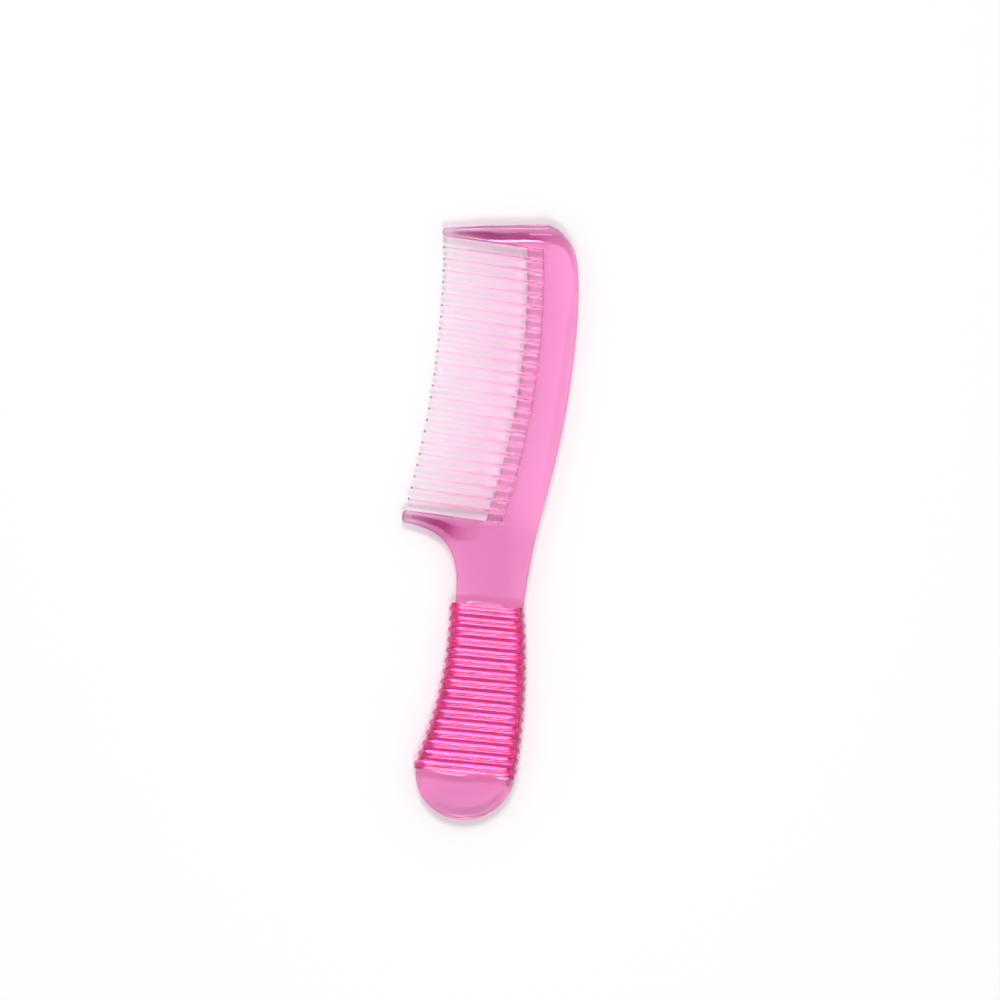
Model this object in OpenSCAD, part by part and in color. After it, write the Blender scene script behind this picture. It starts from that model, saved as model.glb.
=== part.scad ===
// Wide tooth comb with a ribbed handle.
// The comb lies flat: +Y runs along it towards the head, the teeth point to -X and +Z is up.
// The driving frame has X = 0 on the handle's centre line, Y = 0 on the upper face of the heel guard
// and Z = 0 on the middle plane. place() then moves the whole comb onto its base.

/* [Teeth] */
// Number of teeth between the two guards
tooth_count = 23; // [15:1:30]
// Distance from one tooth to the next
tooth_pitch = 4.25; // [3.8:0.05:5]
// Distance from an end tooth to the guard's face
end_pitch = 4; // [3.6:0.1:5]
// Distance of the middle tooth's tip from the handle's centre line
tooth_reach = 32.4; // [28:0.2:34]
// Radius of the shallow arc on which the tooth tips lie
tip_bow_r = 368; // [300:2:900]
// Width of a tooth at its root, halfway down its thickness
tooth_w = 2.4; // [1.6:0.1:2.8]
// Thickness of a tooth at its root
tooth_t = 4.6; // [3.6:0.1:5.2]
// Width and thickness of a tooth near its tip, as a share of those at its root
tooth_taper = 0.65; // [0.4:0.05:1]

/* [Root web] */
// Width of the thin strip behind the tooth roots
web_w = 5.9; // [4:0.1:7]
// Thickness of the thin strip
web_t = 1.8; // [1.2:0.1:2.4]
// Distance of the tooth root line from the handle's centre line, at its furthest point
web_x = -0.5; // [-2:0.1:1]
// Radius of the arc of the tooth root line
web_bow_r = 278; // [240:2:600]

/* [Head and neck] */
// Thickness of the spine, the guards, the neck and the butt
plate_t = 6; // [5.4:0.1:7]
// Distance of the guards' tips from the handle's centre line
guard_reach = 36.4; // [35:0.2:40]
// Distance of the back of the spine from the handle's centre line, at its widest
spine_reach = 18.1; // [16:0.1:20]
// Width of the neck
neck_w = 25.1; // [24:0.1:26]
// Length from the heel guard's face to the end of the neck
neck_len = 30.85; // [28:0.05:36]
// How far the edge rounding of the spine and the neck runs in from the edge
edge_round = 2.2; // [1:0.1:2.4]

/* [Grip] */
// Number of ribs round the grip
rib_count = 16; // [10:1:18]
// Distance from one rib to the next
rib_pitch = 3.85; // [3.4:0.05:4.4]
// Width of a rib at its foot
rib_w = 2.3; // [1.6:0.1:2.6]
// Height of a rib above the sleeve
rib_h = 0.75; // [0.4:0.05:1]
// Thickness of the grip over its ribs
grip_t = 9.5; // [9.1:0.1:12]
// Wall of the sleeve
sleeve_wall = 1.4; // [1:0.1:1.6]
// Distance of the grip's waist from the handle's centre line, on the teeth's side
waist_reach = 13.6; // [13.4:0.1:15]
// Distance of the grip's widest point from the handle's centre line, on the back's side
swell_reach = 19; // [18.4:0.1:20]
// Slant of the ribs and of the grip's ends, as rise over run
grip_slant = 0.044; // [0:0.002:0.06]

/* [Butt] */
// Width of the butt where it leaves the sleeve
butt_w = 36.4; // [35:0.1:38]
// Length of the butt
butt_len = 17.5; // [14:0.1:22]

/* [Hidden] */
// Length of the head between the faces of its two guards
head_len = (tooth_count - 1) * tooth_pitch + 2 * end_pitch;

// Height of the front guard at its seam, and of the highest point of the head's end, above the head's length
guard_h = 8.7;
apex_h = 9.6;

// Thickness of a guard at its tip, as a share of the plate's
guard_tip_share = 0.6;

// Plain stretches of the sleeve before the middle of its first rib and after the middle of its last
sleeve_lead = 2.2;
sleeve_tail = 2;
sleeve_len = sleeve_lead + (rib_count - 1) * rib_pitch + sleeve_tail;
grip_top_y = -neck_len;
grip_end_y = grip_top_y - sleeve_len;

// The grip's edges are parabolas: how far below its top each turns, and how fast each opens or closes
waist_y = grip_top_y - 19.15;
waist_flare = 0.0034;
swell_y = grip_top_y - 54.15;
swell_curve = 0.002;

// The arc of the tooth root line is furthest from the teeth a little past the middle of the head
web_mid_y = 0.527 * head_len;
tip_mid_y = 0.496 * head_len;

// The heel guard ends and the neck begins at this X; the front guard ends where the web begins
heel_seam_x = -17;
front_seam_x = web_x - pow(head_len - web_mid_y, 2) / (2 * web_bow_r);

// Smoothness: pieces in one curve span, in a short one, in one round end of a grip section, in the butt's
// edge and along the web
span_n = 8;
short_n = 4;
end_n = 15;
butt_n = 28;
web_n = 24;

function two_digits(i) = i < 10 ? str("0", i) : str(i);
function tooth_name(i) = str("tooth_", two_digits(i));
function rib_name(i) = str("grip_rib_", two_digits(i));

// ---- curves ----

// A point on the cubic curve from a to d with the handles b and c
function cubic(a, b, c, d, t) =
    pow(1 - t, 3) * a + 3 * t * pow(1 - t, 2) * b + 3 * t * t * (1 - t) * c + pow(t, 3) * d;

// The points strictly between a and d on that curve
function span(a, b, c, d, n = span_n) = [for (i = [1 : n - 1]) cubic(a, b, c, d, i / n)];

// The tooth root line, the line behind the web, and the line of the tooth tips
function root_x(y) = web_x - pow(y - web_mid_y, 2) / (2 * web_bow_r);
function web_back_x(y) = root_x(y) + web_w;
function tip_x(y) = -tooth_reach - pow(y - tip_mid_y, 2) / (2 * tip_bow_r);
function tooth_y(i) = head_len - end_pitch - (i - 1) * tooth_pitch;

// Left and right edge of the grip over its ribs: it flares to the left like a fishtail and
// swells to the right until a little above its end
function rib_left(y) = -waist_reach - waist_flare * pow(y - waist_y, 2);
function rib_right(y) = swell_reach - swell_curve * pow(y - swell_y, 2);

// ---- plates with rounded edges ----

// An outline point is [x, y, weight] or [x, y, weight, [dx, dy]]. The rounding draws the point in along
// the outline's inward normal, or along the given direction where the point ends a flat seam.
function normal_at(p, i) =
    let (n = len(p))
    let (a = p[(i + n - 1) % n])
    let (b = p[(i + 1) % n])
    let (d = [b[0] - a[0], b[1] - a[1]])
    [-d[1], d[0]] / norm(d);
function inset_at(p, i) = (len(p[i]) > 3 ? p[i][3] : normal_at(p, i)) * p[i][2] * edge_round;

// Section of the edge from the lower to the upper face: [share of the rounding, share of the half height]
edge_section = [
    [1, -1], [0.5, -0.93], [0.2, -0.78], [0.04, -0.55], [0, -0.32],
    [0, 0.32], [0.04, 0.55], [0.2, 0.78], [0.5, 0.93], [1, 1]
];

// Twice the area of the flat triangle abc, positive where it runs anticlockwise as seen from above
function turn(a, b, c) = (b[0] - a[0]) * (c[1] - a[1]) - (b[1] - a[1]) * (c[0] - a[0]);
function covers(a, b, c, q) = turn(a, b, q) >= 0 && turn(b, c, q) >= 0 && turn(c, a, q) >= 0;

// Corner k of the polygon whose corners are p[i] for i in left is an ear if it can be cut off in one triangle
function corner_of(left, k) = let (n = len(left)) [left[(k + n - 1) % n], left[k], left[(k + 1) % n]];
function is_ear(p, left, k) =
    let (e = corner_of(left, k))
    let (a = p[e[0]])
    let (b = p[e[1]])
    let (c = p[e[2]])
    let (others = [for (i = left) if (i != e[0] && i != e[1] && i != e[2]) p[i]])
    turn(a, b, c) > 0.0001 && len([for (q = others) if (covers(a, b, c, q)) 1]) == 0;

// Triangles that fill an anticlockwise polygon with inward bends: the ear with the shortest cut goes first
function cut_length(p, left, k) =
    let (e = corner_of(left, k))
    norm([for (d = [0, 1]) p[e[0]][d] - p[e[2]][d]]);
function fill(p, left) =
    len(left) == 3 ? [left] :
    let (ears = [for (k = [0 : len(left) - 1]) if (is_ear(p, left, k)) k])
    let (cuts = [for (k = ears) cut_length(p, left, k)])
    let (k = ears[search(min(cuts), cuts)[0]])
    concat([corner_of(left, k)], fill(p, [for (i = [0 : len(left) - 1]) if (i != k) left[i]]));

// A closed skin over rings of n points each, listed from the lowest ring to the highest. A bent outline's
// caps are filled with triangles; its rings run anticlockwise as seen from above.
module skin(rings, bent = false) {
    n = len(rings[0]);
    m = len(rings);
    points = [for (ring = rings) each ring];
    walls = [for (k = [0 : m - 2], i = [0 : n - 1])
        let (j = (i + 1) % n)
        [k * n + i, k * n + n + i, k * n + n + j, k * n + j]];
    cap = bent ? fill(rings[0], [for (i = [0 : n - 1]) i]) : [[for (i = [0 : n - 1]) i]];
    last_cap = [for (f = cap) [for (i = [len(f) - 1 : -1 : 0]) (m - 1) * n + f[i]]];
    polyhedron(points, concat(walls, cap, last_cap), convexity = 6);
}

// Thickness of a guard at x: it tapers from the plate's thickness at its seam to tip_share of it
function guard_t(x, seam_x) =
    plate_t * (1 - (1 - guard_tip_share) * (seam_x - x) / (seam_x + guard_reach));

// A plate over an outline that runs anticlockwise as seen from above. A guard gives the X of its seam.
module plate(p, seam_x = undef) {
    insets = [for (i = [0 : len(p) - 1]) inset_at(p, i)];
    skin([for (s = edge_section)
        [for (i = [0 : len(p) - 1])
            let (x = p[i][0] + insets[i][0] * s[0])
            let (t = is_undef(seam_x) ? plate_t : guard_t(x, seam_x))
            [x, p[i][1] + insets[i][1] * s[0], s[1] * t / 2]]],
        bent = true);
}

function weigh(points, w) = [for (q = points) [q[0], q[1], w]];

// ---- key points of the outline ----

front_top = [front_seam_x, head_len + guard_h];
front_root = [front_seam_x, head_len];
apex = [1.5, head_len + apex_h];
corner = [spine_reach - 3.7, head_len - 3];
belly = [spine_reach, 0.53 * head_len];
back_at_heel = [neck_w / 2 + 1.2, 0];
heel_root = [heel_seam_x, 0];
heel_under = [heel_seam_x, -12.7];
neck_right = [neck_w / 2, grip_top_y + grip_slant * neck_w / 2];
neck_left = [-neck_w / 2, grip_top_y - grip_slant * neck_w / 2];

// Rounding weights: outer edges are rounded fully, the edges that face the teeth only a little
full = 1;
face = 0.45;
step = 0.3;

// Rounding weight of a guard at x, from tip_w at its tip to full at its seam
function guard_weight(x, seam_x, tip_w) = tip_w + (full - tip_w) * (x + guard_reach) / (seam_x + guard_reach);

// A point rounded along a given direction, such as the end of a flat seam or the underside of a guard, and
// a point where two seams meet at an inner corner
function rounded_along(q, w, direction) = [q[0], q[1], w, direction];
function inner_corner(x, y, direction) = [x, y, sqrt(2) * step, direction / sqrt(2)];

// Points along a flat stretch from a to b, without its ends
function along(a, b) = [for (k = [1 : 5]) a + (b - a) * k / 6];

// ---- the moulding ----

module spine() {
    outline = concat(
        [rounded_along([web_back_x(0), 0], step, [1, 0]), rounded_along(back_at_heel, full, [-1, 0])],
        weigh(span(back_at_heel, back_at_heel + [1.45, 12.5], belly + [0, -0.215 * head_len], belly), full),
        weigh([belly], full),
        weigh(span(belly, belly + [0, 0.2 * head_len], corner + [2.6, -10.5], corner), full),
        weigh([corner], full),
        weigh(span(corner, corner + [-1.5, 6], apex + [5.5, 0], apex), full),
        weigh([apex], full),
        weigh(span(apex, apex + [-1.1, 0], front_top + [2.7, 0.4], front_top, short_n), full),
        [rounded_along(front_top, full, [0, -1]), rounded_along(front_root, step, [0, 1])],
        [inner_corner(web_back_x(head_len), head_len, [1, 1])],
        [for (k = [web_n - 1 : -1 : 1]) let (y = head_len * k / web_n) [web_back_x(y), y, step]]
    );
    color([0.98, 0.61, 0.82, 0.8])
    plate(outline);
}

module front_guard() {
    tip = [-guard_reach, head_len + 1.7];
    tip_top = tip + [1.3, 1.7];
    tip_face = [-guard_reach + 1.6, head_len];
    tip_w = 0.55;
    outline = concat(
        [rounded_along(front_root, step, [0, 1]), rounded_along(front_top, full, [0, -1])],
        [for (q = span(front_top, front_top + [-9.4, -1.45], tip_top + [8, 1.7], tip_top))
            [q[0], q[1], guard_weight(q[0], front_seam_x, tip_w)]],
        weigh([tip_top], tip_w),
        weigh(span(tip_top, tip_top + [-0.9, -0.1], tip + [0, 0.9], tip, short_n), tip_w),
        weigh([tip], tip_w),
        weigh(span(tip, tip + [0, -0.9], tip_face + [-1.1, 0], tip_face, short_n), face),
        weigh([tip_face], face),
        weigh(along(tip_face, front_root), face)
    );
    color([0.84, 0.43, 0.67, 0.85])
    plate(outline, front_seam_x);
}

module heel_guard() {
    tip = [-guard_reach, -2.3];
    tip_face = [-guard_reach + 1.5, 0];
    tip_under = tip + [1.2, -2.6];
    tip_w = 0.42;
    outline = concat(
        [rounded_along(heel_under, full, [0, 1]), rounded_along(heel_root, face, [0, -1])],
        weigh(along(heel_root, tip_face), face),
        weigh([tip_face], face),
        weigh(span(tip_face, tip_face + [-0.9, 0], tip + [0, 1], tip, short_n), face),
        weigh([tip], tip_w),
        weigh(span(tip, tip + [0, -1.2], tip_under + [-0.8, 0.1], tip_under, short_n), tip_w),
        weigh([tip_under], tip_w),
        [for (q = span(tip_under, tip_under + [8.2, -0.3], heel_under + [-3.2, 5.1], heel_under))
            rounded_along(q, guard_weight(q[0], heel_seam_x, tip_w), [0, 1])]
    );
    color([0.82, 0.49, 0.67, 0.85])
    plate(outline, heel_seam_x);
}

module neck() {
    outline = concat(
        [rounded_along(heel_under, full, [0, 1])],
        weigh(span(heel_under, heel_under + [2, -3.2], neck_left + [-0.2, 10.4], neck_left), full),
        [rounded_along(neck_left, full, [1, grip_slant]), rounded_along(neck_right, full, [-1, -grip_slant])],
        weigh(span(neck_right, neck_right + [0, 10], back_at_heel + [-1, -9], back_at_heel), full),
        [rounded_along(back_at_heel, full, [-1, 0])],
        [inner_corner(web_back_x(0), 0, [1, -1])],
        weigh([[root_x(0), 0]], face),
        [rounded_along(heel_root, face, [0, -1])]
    );
    color([0.96, 0.59, 0.81, 0.8])
    plate(outline);
}

module butt() {
    half = butt_w / 2;
    outline = concat(
        [rounded_along([-half, grip_end_y - grip_slant * half], full, [1, grip_slant])],
        [for (k = [1 : butt_n - 1])
            let (a = 180 + 180 * k / butt_n)
            [half * cos(a), grip_end_y + grip_slant * half * cos(a) + butt_len * sin(a), full]],
        [rounded_along([half, grip_end_y + grip_slant * half], full, [-1, -grip_slant])]
    );
    color([0.96, 0.58, 0.8, 0.8])
    plate(outline);
}

// ---- web and teeth ----

// Section of a tooth across X: nearly a diamond, with a ridge along its upper and its lower face
function tooth_section(w, t) =
    let (shoulder = 0.08 * t)
    [[0, t / 2], [w / 2, shoulder], [w / 2, -shoulder], [0, -t / 2], [-w / 2, -shoulder], [-w / 2, shoulder]];

// The bars of the web stop this far short of the spine's curved face, and a tooth this far from its root line
bar_gap = 0.15;
root_gap = 0.02;

module root_web() {
    strip = concat(
        [for (k = [0 : web_n]) let (y = head_len * k / web_n) [web_back_x(y), y]],
        [for (k = [web_n : -1 : 0]) let (y = head_len * k / web_n) [root_x(y), y]]
    );
    color([0.94, 0.5, 0.74, 0.85])
    union() {
        linear_extrude(web_t, center = true)
        polygon(strip);
        for (i = [1 : tooth_count])
            translate([root_x(tooth_y(i)), tooth_y(i), 0])
            rotate([90, 0, 90])
            linear_extrude(web_w - bar_gap)
            polygon(tooth_section(tooth_w, tooth_t));
    }
}

// Stations along a tooth: [share of its length, size as a share of its root's]
tooth_stations = [[0, 1], [0.955, tooth_taper], [0.985, 0.8 * tooth_taper], [1, 0.4 * tooth_taper]];

module tooth(i) {
    y = tooth_y(i);
    root = root_x(y) - root_gap;
    length = root - tip_x(y);
    color([0.97, 0.75, 0.87, 0.7])
    skin([for (s = tooth_stations)
        [for (q = tooth_section(s[1] * tooth_w, s[1] * tooth_t)) [root - s[0] * length, y + q[0], q[1]]]]);
}

// ---- grip ----

// A flat oval section across the handle at height y, drawn in by inset from the outside of the ribs.
// It has flat faces and round ends, and follows the slant of the grip.
function grip_ring(y, inset) =
    let (b = grip_t / 2 - inset)
    let (ends = [rib_right(y) - inset - b, rib_left(y) + inset + b])
    [for (side = [0, 1], k = [0 : end_n])
        let (a = 180 * (side + k / end_n) - 90)
        let (x = ends[side] + b * cos(a))
        [x, y + grip_slant * x, b * sin(a)]];

// A tube between an outer and an inner list of rings, both listed from the head towards the butt
module tube(outer, inner) {
    n = len(outer[0]);
    closed = concat(outer, [for (k = [len(inner) - 1 : -1 : 0]) inner[k]]);
    m = len(closed);
    points = [for (ring = closed) each ring];
    faces = [for (k = [0 : m - 1], i = [0 : n - 1])
        let (j = (i + 1) % n)
        let (next = (k + 1) % m)
        [k * n + i, next * n + i, next * n + j, k * n + j]];
    polyhedron(points, faces, convexity = 6);
}

// The heights at which the sleeve changes slope: its two ends and the foot of each rib
function rib_y(i) = grip_top_y - sleeve_lead - (i - 1) * rib_pitch;
sleeve_stations = concat(
    [grip_top_y],
    [for (i = [1 : rib_count]) each [rib_y(i) + rib_w / 2, rib_y(i) - rib_w / 2]],
    [grip_end_y]
);
tang_stations = [for (k = [0 : 12]) grip_top_y - sleeve_len * k / 12];
tang_inset = rib_h + sleeve_wall;

module grip_sleeve() {
    color([0.93, 0.36, 0.68, 0.9])
    tube([for (y = sleeve_stations) grip_ring(y, rib_h)], [for (y = tang_stations) grip_ring(y, tang_inset)]);
}

module tang() {
    color([0.96, 0.59, 0.81, 0.8])
    skin([for (y = tang_stations) grip_ring(y, tang_inset)]);
}

// Section of a rib: [share of its width towards the head, share of its height]
rib_section = [[0.5, 0], [0.42, 0.55], [0.24, 1], [-0.24, 1], [-0.42, 0.55], [-0.5, 0]];

module grip_rib(i) {
    color([0.95, 0.43, 0.72, 0.9])
    tube([for (s = rib_section) grip_ring(rib_y(i) + s[0] * rib_w, rib_h * (1 - s[1]))], []);
}

// ---- the whole comb ----

// Moves the comb so that the middle of its outline is at X = Y = 0 and its ribs stand on Z = 0
module place() {
    x_mid = (max([for (i = [1 : rib_count]) rib_right(rib_y(i))]) - guard_reach) / 2;
    y_mid = (head_len + apex_h + grip_end_y - butt_len) / 2;
    translate([-x_mid, -y_mid, grip_t / 2])
    children();
}

place() spine();
place() root_web();
place() front_guard();
place() heel_guard();
place() neck();
place() tang();
place() grip_sleeve();
place() butt();
for (i = [1 : tooth_count])
    place() tooth(i);
for (i = [1 : rib_count])
    place() grip_rib(i);
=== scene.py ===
"""The looks of the wide tooth comb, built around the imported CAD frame.

Every shape is worked out in the comb's own plane, in millimetres: X = 0 on the handle's centre line,
Y = 0 on the heel guard's face, Z = 0 on the middle plane. to_row() turns that into the row frame, in metres.
"""
import math

import bpy
import numpy as np
from mathutils import Matrix, Vector, geometry, kdtree


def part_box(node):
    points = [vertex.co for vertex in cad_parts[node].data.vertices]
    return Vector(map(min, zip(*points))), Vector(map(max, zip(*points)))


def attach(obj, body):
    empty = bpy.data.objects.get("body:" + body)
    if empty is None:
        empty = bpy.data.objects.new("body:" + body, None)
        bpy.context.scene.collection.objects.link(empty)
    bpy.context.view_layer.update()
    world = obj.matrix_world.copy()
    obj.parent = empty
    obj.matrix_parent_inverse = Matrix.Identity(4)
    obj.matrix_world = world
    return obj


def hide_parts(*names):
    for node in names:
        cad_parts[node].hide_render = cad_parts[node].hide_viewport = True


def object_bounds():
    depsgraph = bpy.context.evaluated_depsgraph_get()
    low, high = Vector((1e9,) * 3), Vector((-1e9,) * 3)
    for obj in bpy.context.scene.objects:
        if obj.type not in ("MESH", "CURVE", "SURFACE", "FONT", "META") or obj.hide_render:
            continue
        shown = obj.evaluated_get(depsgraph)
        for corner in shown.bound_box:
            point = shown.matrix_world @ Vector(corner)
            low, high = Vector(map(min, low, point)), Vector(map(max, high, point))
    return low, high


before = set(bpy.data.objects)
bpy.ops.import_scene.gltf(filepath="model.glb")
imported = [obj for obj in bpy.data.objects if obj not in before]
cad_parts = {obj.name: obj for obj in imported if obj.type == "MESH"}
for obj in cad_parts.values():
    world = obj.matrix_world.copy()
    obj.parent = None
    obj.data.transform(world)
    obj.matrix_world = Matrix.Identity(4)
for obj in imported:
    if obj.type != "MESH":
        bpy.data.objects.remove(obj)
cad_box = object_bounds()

MM = 0.001

# ---------------------------------------------------------------- sizes, read from the frame


def raw_box(node):
    """Lowest and highest corner of a CAD node, in millimetres in the row frame."""
    low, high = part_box(node)
    return np.array(low) / MM, np.array(high) / MM


def middle(node, axis):
    low, high = raw_box(node)
    return (low[axis] + high[axis]) / 2


ORIGIN = np.array([middle("butt", 0), raw_box("heel_guard")[1][1], middle("spine", 2)])


def comb_box(node):
    """The same box in the comb's own plane."""
    low, high = raw_box(node)
    return low - ORIGIN, high - ORIGIN


def to_row(points):
    """Points in the comb's own plane, in millimetres, as points in the row frame, in metres."""
    return (np.asarray(points) + ORIGIN) * MM


NODES = sorted(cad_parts)
TEETH = [n for n in NODES if n.startswith("tooth_")]
RIBS = [n for n in NODES if n.startswith("grip_rib_")]

_, spine_high = comb_box("spine")
front_low, front_high = comb_box("front_guard")
heel_low, heel_high = comb_box("heel_guard")
_, neck_high = comb_box("neck")
_, sleeve_high = comb_box("grip_sleeve")
_, tang_high = comb_box("tang")
butt_low, butt_high = comb_box("butt")
_, web_high = comb_box("root_web")
tooth_low, tooth_high = comb_box(TEETH[len(TEETH) // 2])

INSIDE_BOX = 0.03                                # kept between the butt's end and the CAD's box
PLATE_H = spine_high[2]                          # half the plate's thickness
TANG_H = tang_high[2]
SLEEVE_H = sleeve_high[2]
RIB_H = comb_box(RIBS[0])[1][2] - SLEEVE_H       # height of a rib above the sleeve
WALL = SLEEVE_H - TANG_H                         # wall of the sleeve
HEAD = front_low[1]                              # length of the head between its guards
REACH = -front_low[0]                            # of the guards' tips, from the handle's centre line
BACK = spine_high[0]
FRONT_SEAM, HEEL_SEAM = front_high[0], heel_high[0]
BUTT_HALF = butt_high[0]
SLANT = 0.044                                    # of the grip's ends and ribs, as rise over run
GRIP_END = butt_high[1] - SLANT * BUTT_HALF
BUTT_LEN = GRIP_END - butt_low[1] - INSIDE_BOX
TOOTH_YS = [(comb_box(n)[0][1] + comb_box(n)[1][1]) / 2 for n in TEETH]
TOOTH_W = tooth_high[1] - tooth_low[1]
TOOTH_H = tooth_high[2]

# Curves through the boxes of the repeated nodes: the grip's edges over its ribs and the tooth root line
rib_boxes = [comb_box(n) for n in RIBS]
rib_mid_x = [(low[0] + high[0]) / 2 for low, high in rib_boxes]
RIB_YS = [(b[0][1] + b[1][1]) / 2 - SLANT * x for b, x in zip(rib_boxes, rib_mid_x)]
RIB_PITCH = RIB_YS[0] - RIB_YS[1]
left_fit = np.polyfit(RIB_YS, [b[0][0] for b in rib_boxes], 2)
right_fit = np.polyfit(RIB_YS, [b[1][0] for b in rib_boxes], 2)
root_fit = np.polyfit(TOOTH_YS, [comb_box(n)[1][0] for n in TEETH], 2)
WEB_W = web_high[0] - np.polyval(root_fit, np.linspace(0, HEAD, 60)).max()
GRIP_TOP = sleeve_high[1] - SLANT * (np.polyval(right_fit, sleeve_high[1]) - RIB_H)


def rib_left(y):
    return np.polyval(left_fit, y)


def rib_right(y):
    return np.polyval(right_fit, y)


def root_x(y):
    return np.polyval(root_fit, y)


def web_back_x(y):
    return root_x(y) + WEB_W


def smooth(t):
    """0 below 0, 1 above 1 and an even slope between."""
    t = np.clip(t, 0, 1)
    return t * t * (3 - 2 * t)


# ---------------------------------------------------------------- the moulding's outline


def cubic(a, leave, d, arrive, n=60):
    """Points on the cubic curve from a to d, without d. Its handles are given from a and from d."""
    a, d = np.asarray(a, float), np.asarray(d, float)
    b, c = a + leave, d + arrive
    t = np.linspace(0, 1, n + 1)[:-1, None]
    return (1 - t) ** 3 * a + 3 * t * (1 - t) ** 2 * b + 3 * t * t * (1 - t) * c + t**3 * d


def line(a, b, n=40):
    """Points on the line from a to b, without b."""
    a, b = np.asarray(a, float), np.asarray(b, float)
    t = np.linspace(0, 1, n + 1)[:-1, None]
    return a + (b - a) * t


ROUND_BACK = 1.7        # edge rounding of the spine, the neck and the butt
ROUND_TIP = 1.0         # of the guards' tips
ROUND_FACE = 0.8        # of the edges that face the teeth
ROUND_STEP = 0.35       # of the step down to the web
ROUND_SHOULDER = 0.4    # of the steps at both ends of the tang
ROUND_TANG = 0.35       # of the tang and the sleeve's bore
TANG_GAP = 0.03         # between the tang and the sleeve
GRIP_POINTS = 160       # along each side of the tang and round the butt
WEB_POINTS = 240        # along the web's back


def tang_left(y):
    return rib_left(y) + RIB_H + WALL + TANG_GAP


def tang_right(y):
    return rib_right(y) - RIB_H - WALL - TANG_GAP


def slanted(x, y):
    """A point of a line across the handle, which leans like the grip's ends."""
    return np.array([x, y + SLANT * x])


# Corners that two runs of the outline share. The small offsets here and the handles below shape the curves.
NECK_HALF = neck_high[0] - 1.2
NECK_LEFT = slanted(-NECK_HALF, GRIP_TOP)
NECK_RIGHT = slanted(NECK_HALF, GRIP_TOP)
FRONT_TOP = np.array([FRONT_SEAM, front_high[1]])
FRONT_FACE = np.array([-REACH + 1.6, HEAD])
HEEL_TIP = np.array([-REACH, -2.3])
HEEL_TIP_UNDER = HEEL_TIP + [1.2, -2.6]


def heel_under_runs():
    """From the heel guard's tip along its underside into the neck."""
    heel_under = np.array([HEEL_SEAM, heel_low[1]])
    return [
        (cubic(HEEL_TIP_UNDER, [8.2, -0.3], heel_under, [-3.2, 5.1]), (ROUND_TIP, ROUND_BACK)),
        (cubic(heel_under, [2, -3.2], NECK_LEFT, [-0.2, 10.4]), (ROUND_BACK, ROUND_BACK)),
    ]


def handle_runs():
    """Down the left side of the tang, round the butt and up the right side to the neck."""
    ys = np.linspace(GRIP_TOP, GRIP_END, GRIP_POINTS)[1:-1]
    left_side = np.array([slanted(tang_left(y), y) for y in ys])
    right_side = np.array([slanted(tang_right(y), y) for y in ys[::-1]])
    left_top = slanted(tang_left(GRIP_TOP), GRIP_TOP)
    left_end = slanted(tang_left(GRIP_END), GRIP_END)
    right_top = slanted(tang_right(GRIP_TOP), GRIP_TOP)
    right_end = slanted(tang_right(GRIP_END), GRIP_END)
    butt = np.array([
        slanted(BUTT_HALF * math.cos(a), GRIP_END) + [0, BUTT_LEN * math.sin(a)]
        for a in np.linspace(math.pi, 2 * math.pi, GRIP_POINTS)[:-1]
    ])
    shoulder, tang = (ROUND_SHOULDER, ROUND_SHOULDER), (ROUND_TANG, ROUND_TANG)
    return [
        (line(NECK_LEFT, left_top, 3), shoulder),
        (left_side, tang),
        (line(left_end, slanted(-BUTT_HALF, GRIP_END), 4), shoulder),
        (butt, (ROUND_BACK, ROUND_BACK)),
        (line(slanted(BUTT_HALF, GRIP_END), right_end, 6), shoulder),
        (right_side, tang),
        (line(right_top, NECK_RIGHT, 6), shoulder),
    ]


def back_runs():
    """Up the neck and the comb's back to the top of the front guard."""
    at_heel = np.array([neck_high[0], 0.0])
    belly = np.array([BACK, 0.53 * HEAD])
    corner = np.array([BACK - 3.7, HEAD - 3])
    apex = np.array([1.5, spine_high[1]])
    curves = [
        cubic(NECK_RIGHT, [0, 10], at_heel, [-1, -9]),
        cubic(at_heel, [1.45, 12.5], belly, [0, -0.215 * HEAD]),
        cubic(belly, [0, 0.2 * HEAD], corner, [2.6, -10.5]),
        cubic(corner, [-1.5, 6], apex, [5.5, 0]),
        cubic(apex, [-1.1, 0], FRONT_TOP, [2.7, 0.4], 20),
    ]
    return [(curve, (ROUND_BACK, ROUND_BACK)) for curve in curves]


def front_guard_runs():
    """Along the front guard's outer side and round its tip."""
    tip = np.array([-REACH, HEAD + 1.7])
    tip_top = tip + [1.3, 1.7]
    return [
        (cubic(FRONT_TOP, [-9.4, -1.45], tip_top, [8, 1.7]), (ROUND_BACK, ROUND_TIP)),
        (cubic(tip_top, [-0.9, -0.1], tip, [0, 0.9], 12), (ROUND_TIP, ROUND_TIP)),
        (cubic(tip, [0, -0.9], FRONT_FACE, [-1.1, 0], 12), (ROUND_TIP, ROUND_FACE)),
    ]


def inner_runs():
    """Down the sides that face the teeth and the web, and round the heel guard's tip."""
    ys = np.linspace(HEAD, 0, WEB_POINTS)[:-1]
    web_back = np.column_stack([web_back_x(ys), ys])
    heel_face = np.array([-REACH + 1.5, 0.0])
    step = (ROUND_STEP, ROUND_STEP)
    return [
        (line(FRONT_FACE, [FRONT_SEAM, HEAD]), (ROUND_FACE, ROUND_STEP)),
        (line([FRONT_SEAM, HEAD], [web_back_x(HEAD), HEAD]), step),
        (web_back, step),
        (line([web_back_x(0), 0], [root_x(0), 0]), step),
        (line([root_x(0), 0], heel_face), (ROUND_STEP, ROUND_FACE)),
        (cubic(heel_face, [-0.9, 0], HEEL_TIP, [0, 1], 12), (ROUND_FACE, ROUND_TIP)),
        (cubic(HEEL_TIP, [0, -1.2], HEEL_TIP_UNDER, [-0.8, 0.1], 12), (ROUND_TIP, ROUND_TIP)),
    ]


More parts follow.
